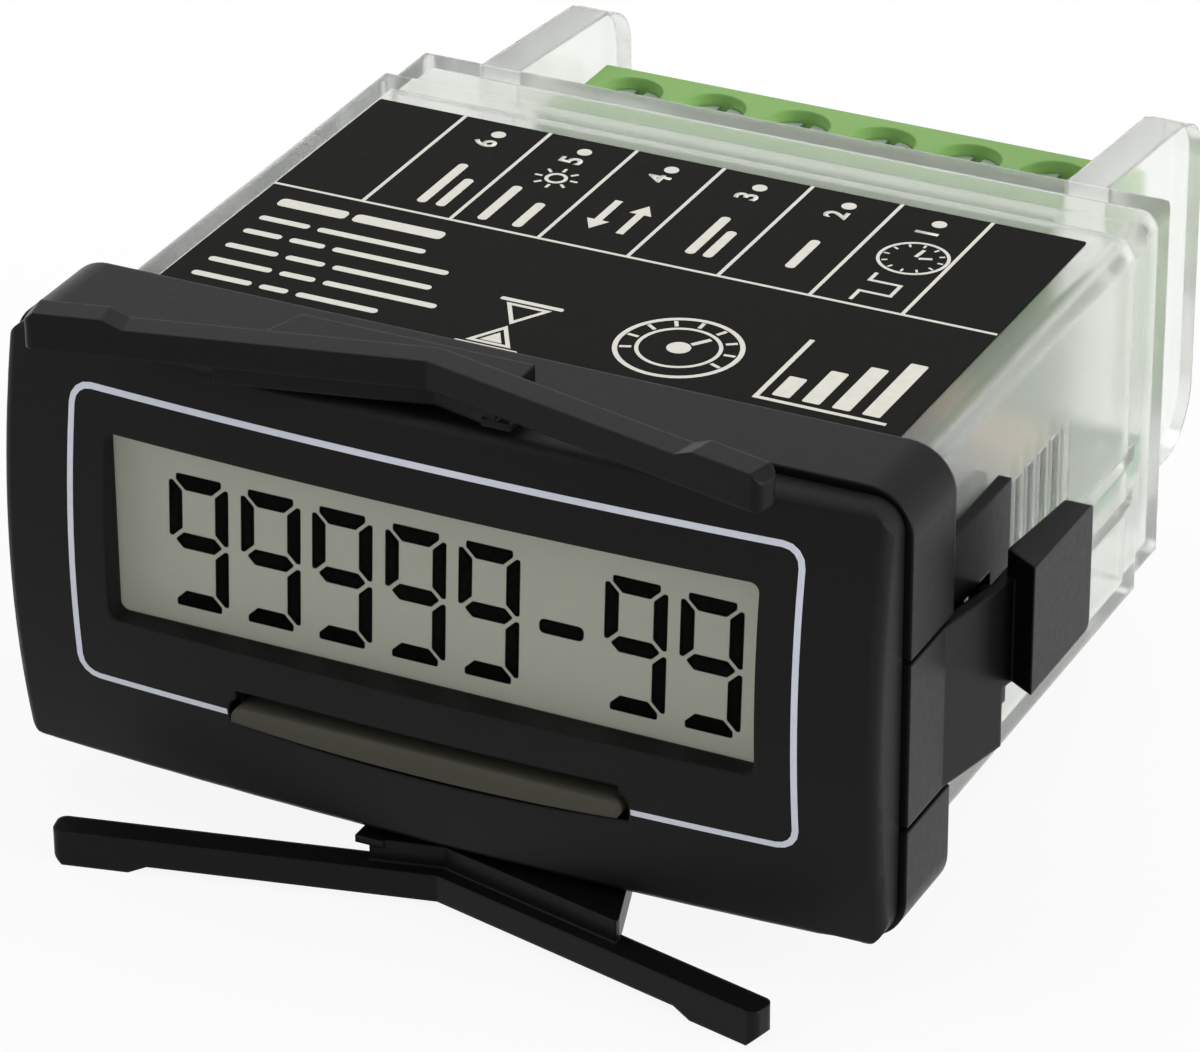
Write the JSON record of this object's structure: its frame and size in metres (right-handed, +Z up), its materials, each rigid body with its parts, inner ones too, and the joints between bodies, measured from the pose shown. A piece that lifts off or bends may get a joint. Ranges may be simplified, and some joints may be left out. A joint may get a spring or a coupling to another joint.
{
  "type": "hour meter",
  "caption": "Panel hour meter: domed bezel with display window and reset bar, clear housing, slide-on spring clip with latches, and rear screw terminals.",
  "frame": {"origin": "centre of the panel seat, on the back of the front bezel", "axes": "+X to the right seen from the front, +Y back through the panel, +Z up"},
  "size_m": [0.0538, 0.0598, 0.0312],
  "materials": {
    "bezel_black": "fine spark texture",
    "lens_clear": "polished clear plastic",
    "display_grey": "grey-green display",
    "rubber_dark": "matt",
    "guide_white": "frosted",
    "board_green": "solder mask",
    "chip_black": "moulded",
    "button_grey": "matt",
    "plunger_cream": "moulded",
    "pin_gold": "plated",
    "cell_steel": "nickel plated",
    "tab_nickel": "rolled",
    "capacitor_blue": "sleeved",
    "resistor_tan": "lacquered",
    "housing_clear": "slightly frosted clear plastic",
    "label_black": "printed film",
    "clip_black": "moulded",
    "terminal_green": "moulded",
    "screw_steel": "zinc plated",
    "clamp_steel": "zinc plated",
    "pin_brass": "tinned"
  },
  "bodies": {
    "case": {"front_bezel": "bezel_black", "window_lens": "lens_clear", "lcd_panel": "display_grey", "zebra_strip": "rubber_dark", "backlight_guide": "guide_white", "display_board": "board_green", "driver_chip": "chip_black", "reset_switch": "chip_black", "header_strip": "chip_black", "header_pin_row": "pin_gold", "main_board": "board_green", "lithium_cell": "cell_steel", "cell_tab_upper": "tab_nickel", "cell_tab_lower": "tab_nickel", "watch_crystal": "cell_steel", "filter_capacitor": "capacitor_blue", "input_optocoupler": "chip_black", "input_resistor_1": "resistor_tan", "input_resistor_2": "resistor_tan", "housing": "housing_clear", "top_label": "label_black", "terminal_block": "terminal_green", "terminal_pin_1": "pin_brass", "terminal_pin_2": "pin_brass", "terminal_pin_3": "pin_brass", "terminal_pin_4": "pin_brass", "terminal_pin_5": "pin_brass", "terminal_pin_6": "pin_brass"},
    "clip": {"panel_clip": "clip_black"},
    "reset": {"reset_button": "button_grey", "switch_plunger": "plunger_cream"},
    "screw_1": {"terminal_screw_1": "screw_steel"},
    "clamp_1": {"wire_clamp_1": "clamp_steel"},
    "screw_2": {"terminal_screw_2": "screw_steel"},
    "clamp_2": {"wire_clamp_2": "clamp_steel"},
    "screw_3": {"terminal_screw_3": "screw_steel"},
    "clamp_3": {"wire_clamp_3": "clamp_steel"},
    "screw_4": {"terminal_screw_4": "screw_steel"},
    "clamp_4": {"wire_clamp_4": "clamp_steel"},
    "screw_5": {"terminal_screw_5": "screw_steel"},
    "clamp_5": {"wire_clamp_5": "clamp_steel"},
    "screw_6": {"terminal_screw_6": "screw_steel"},
    "clamp_6": {"wire_clamp_6": "clamp_steel"}
  },
  "joints": [
    {"name": "clip_slide", "type": "slide", "parent": "case", "child": "clip", "axis": [0, 1, 0], "range_m": [0, 0.056]},
    {"name": "reset_press", "type": "slide", "parent": "case", "child": "reset", "axis": [0, 1, 0], "range_m": [0, 0.0005], "stiffness_N_per_m": 2000},
    {"name": "clamp_rise_1", "type": "slide", "parent": "case", "child": "clamp_1", "axis": [0, 0, 1], "range_m": [0, 0.002]},
    {"name": "screw_turn_1", "type": "hinge", "parent": "case", "child": "screw_1", "pos_m": [0.0127, 0.0456, 0.006], "axis": [0, 0, 1], "range_deg": [-1440, 0]},
    {"name": "clamp_rise_2", "type": "slide", "parent": "case", "child": "clamp_2", "axis": [0, 0, 1], "range_m": [0, 0.002]},
    {"name": "screw_turn_2", "type": "hinge", "parent": "case", "child": "screw_2", "pos_m": [0.00762, 0.0456, 0.006], "axis": [0, 0, 1], "range_deg": [-1440, 0]},
    {"name": "clamp_rise_3", "type": "slide", "parent": "case", "child": "clamp_3", "axis": [0, 0, 1], "range_m": [0, 0.002]},
    {"name": "screw_turn_3", "type": "hinge", "parent": "case", "child": "screw_3", "pos_m": [0.00254, 0.0456, 0.006], "axis": [0, 0, 1], "range_deg": [-1440, 0]},
    {"name": "clamp_rise_4", "type": "slide", "parent": "case", "child": "clamp_4", "axis": [0, 0, 1], "range_m": [0, 0.002]},
    {"name": "screw_turn_4", "type": "hinge", "parent": "case", "child": "screw_4", "pos_m": [-0.00254, 0.0456, 0.006], "axis": [0, 0, 1], "range_deg": [-1440, 0]},
    {"name": "clamp_rise_5", "type": "slide", "parent": "case", "child": "clamp_5", "axis": [0, 0, 1], "range_m": [0, 0.002]},
    {"name": "screw_turn_5", "type": "hinge", "parent": "case", "child": "screw_5", "pos_m": [-0.00762, 0.0456, 0.006], "axis": [0, 0, 1], "range_deg": [-1440, 0]},
    {"name": "clamp_rise_6", "type": "slide", "parent": "case", "child": "clamp_6", "axis": [0, 0, 1], "range_m": [0, 0.002]},
    {"name": "screw_turn_6", "type": "hinge", "parent": "case", "child": "screw_6", "pos_m": [-0.0127, 0.0456, 0.006], "axis": [0, 0, 1], "range_deg": [-1440, 0]}
  ],
  "couplings": [
    {"joint": "screw_turn_1", "follows": "clamp_rise_1", "rad_per_m": -12566},
    {"joint": "screw_turn_2", "follows": "clamp_rise_2", "rad_per_m": -12566},
    {"joint": "screw_turn_3", "follows": "clamp_rise_3", "rad_per_m": -12566},
    {"joint": "screw_turn_4", "follows": "clamp_rise_4", "rad_per_m": -12566},
    {"joint": "screw_turn_5", "follows": "clamp_rise_5", "rad_per_m": -12566},
    {"joint": "screw_turn_6", "follows": "clamp_rise_6", "rad_per_m": -12566}
  ]
}
